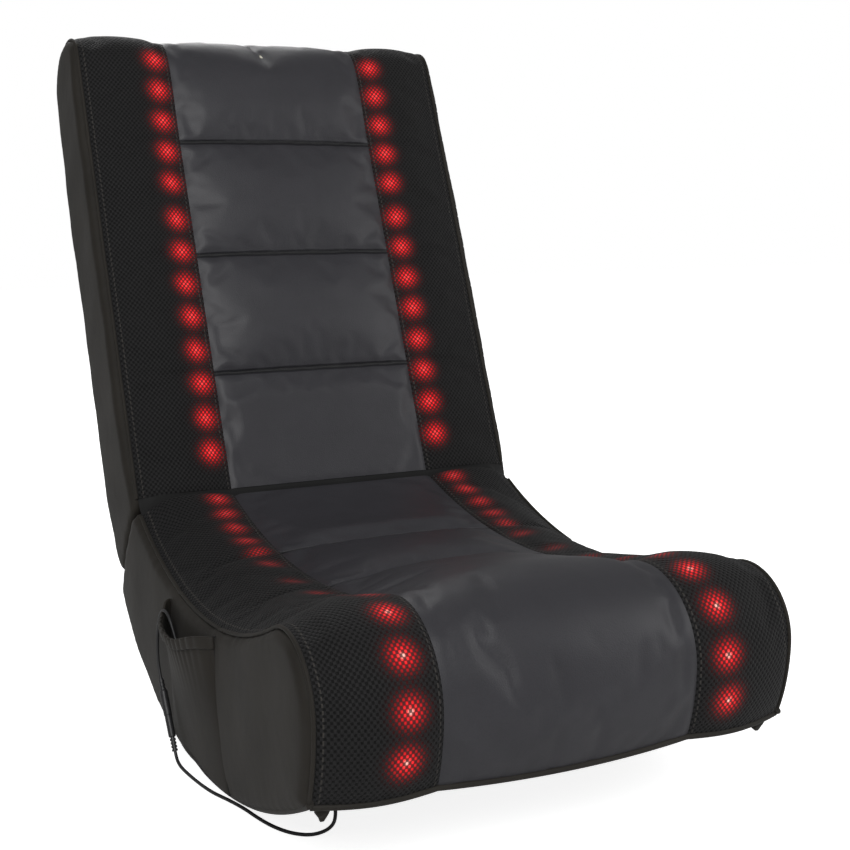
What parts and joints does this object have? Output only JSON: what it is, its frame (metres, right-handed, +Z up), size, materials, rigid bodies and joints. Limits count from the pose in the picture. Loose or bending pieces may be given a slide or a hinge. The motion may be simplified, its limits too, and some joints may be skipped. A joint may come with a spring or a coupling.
{
  "type": "folding floor rocker chair",
  "caption": "Low padded rocker seat on a curved base with a folding quilted back, mesh side strips over light strips, and a side pocket with a lead",
  "frame": {"origin": "middle of the line on which the rocker base touches the floor", "axes": "+X to the sitter's left, across the chair; +Y from the front to the back; +Z up; the sitter faces -Y"},
  "size_m": [0.452, 0.8056, 0.6773],
  "materials": {
    "quilted_leather": "pebbled faux leather quilted on thin foam, satin",
    "spacer_mesh": "black three-dimensional spacer mesh",
    "foam": "cut cushion foam",
    "side_cloth": "dark woven-look coated cloth, matte",
    "elastic_hem": "gathered elastic hem",
    "base_cloth": "black lining cloth",
    "webbing": "woven elastic webbing",
    "hardboard": "smooth brown hardboard",
    "plywood": "sanded plywood",
    "zinc_steel": "zinc-plated pressed steel",
    "pin_steel": "bright steel rod with riveted ends",
    "screw_steel": "zinc-plated countersunk screws",
    "light_strip": "flexible circuit strip with red lamps",
    "lead_jacket": "black soft cable jacket",
    "plug_steel": "nickel-plated plug shell",
    "grommet_rubber": "black rubber bush",
    "connector_plastic": "black moulded connector body"
  },
  "bodies": {
    "base": {"corner_tuck_left": "base_cloth", "corner_tuck_right": "base_cloth", "hinge_leaf_seat_left": "zinc_steel", "hinge_leaf_seat_right": "zinc_steel", "hinge_pin_left": "pin_steel", "hinge_pin_right": "pin_steel", "hinge_screws_seat_left": "screw_steel", "hinge_screws_seat_right": "screw_steel", "lamp_lead": "lead_jacket", "lead_grommet": "grommet_rubber", "lead_plug": "connector_plastic", "lead_relief_high": "connector_plastic", "lead_relief_low": "connector_plastic", "lead_socket": "connector_plastic", "light_strip_seat_left": "light_strip", "light_strip_seat_right": "light_strip", "pocket_hem": "elastic_hem", "seat_base_cloth": "base_cloth", "seat_cover": "quilted_leather", "seat_deck": "hardboard", "seat_foam_left": "foam", "seat_foam_middle": "foam", "seat_foam_right": "foam", "seat_mesh_left": "spacer_mesh", "seat_mesh_right": "spacer_mesh", "seat_panel_left": "side_cloth", "seat_panel_right": "side_cloth", "seat_rail_front": "plywood", "seat_rail_middle": "plywood", "seat_rail_rear": "plywood", "seat_rib_left": "plywood", "seat_rib_middle": "plywood", "seat_rib_right": "plywood", "seat_underside": "hardboard", "side_pocket": "side_cloth", "supply_lead": "lead_jacket", "supply_plug": "connector_plastic", "supply_plug_shell": "plug_steel"},
    "back": {"back_cover": "quilted_leather", "back_foam_left": "foam", "back_foam_middle": "foam", "back_foam_right": "foam", "back_mesh_left": "spacer_mesh", "back_mesh_right": "spacer_mesh", "back_panel_left": "side_cloth", "back_panel_right": "side_cloth", "back_rail_heel": "plywood", "back_rail_middle": "plywood", "back_rail_top": "plywood", "back_rear_cloth": "base_cloth", "back_stile_left": "plywood", "back_stile_right": "plywood", "back_webbing": "webbing", "hinge_leaf_back_left": "zinc_steel", "hinge_leaf_back_right": "zinc_steel", "hinge_screws_back_left": "screw_steel", "hinge_screws_back_right": "screw_steel", "light_strip_back_left": "light_strip", "light_strip_back_right": "light_strip"}
  },
  "joints": [
    {"name": "back_fold", "type": "hinge", "parent": "base", "child": "back", "pos_m": [0, 0.173, 0.203], "axis": [1, 0, 0], "range_deg": [0, 100]}
  ]
}
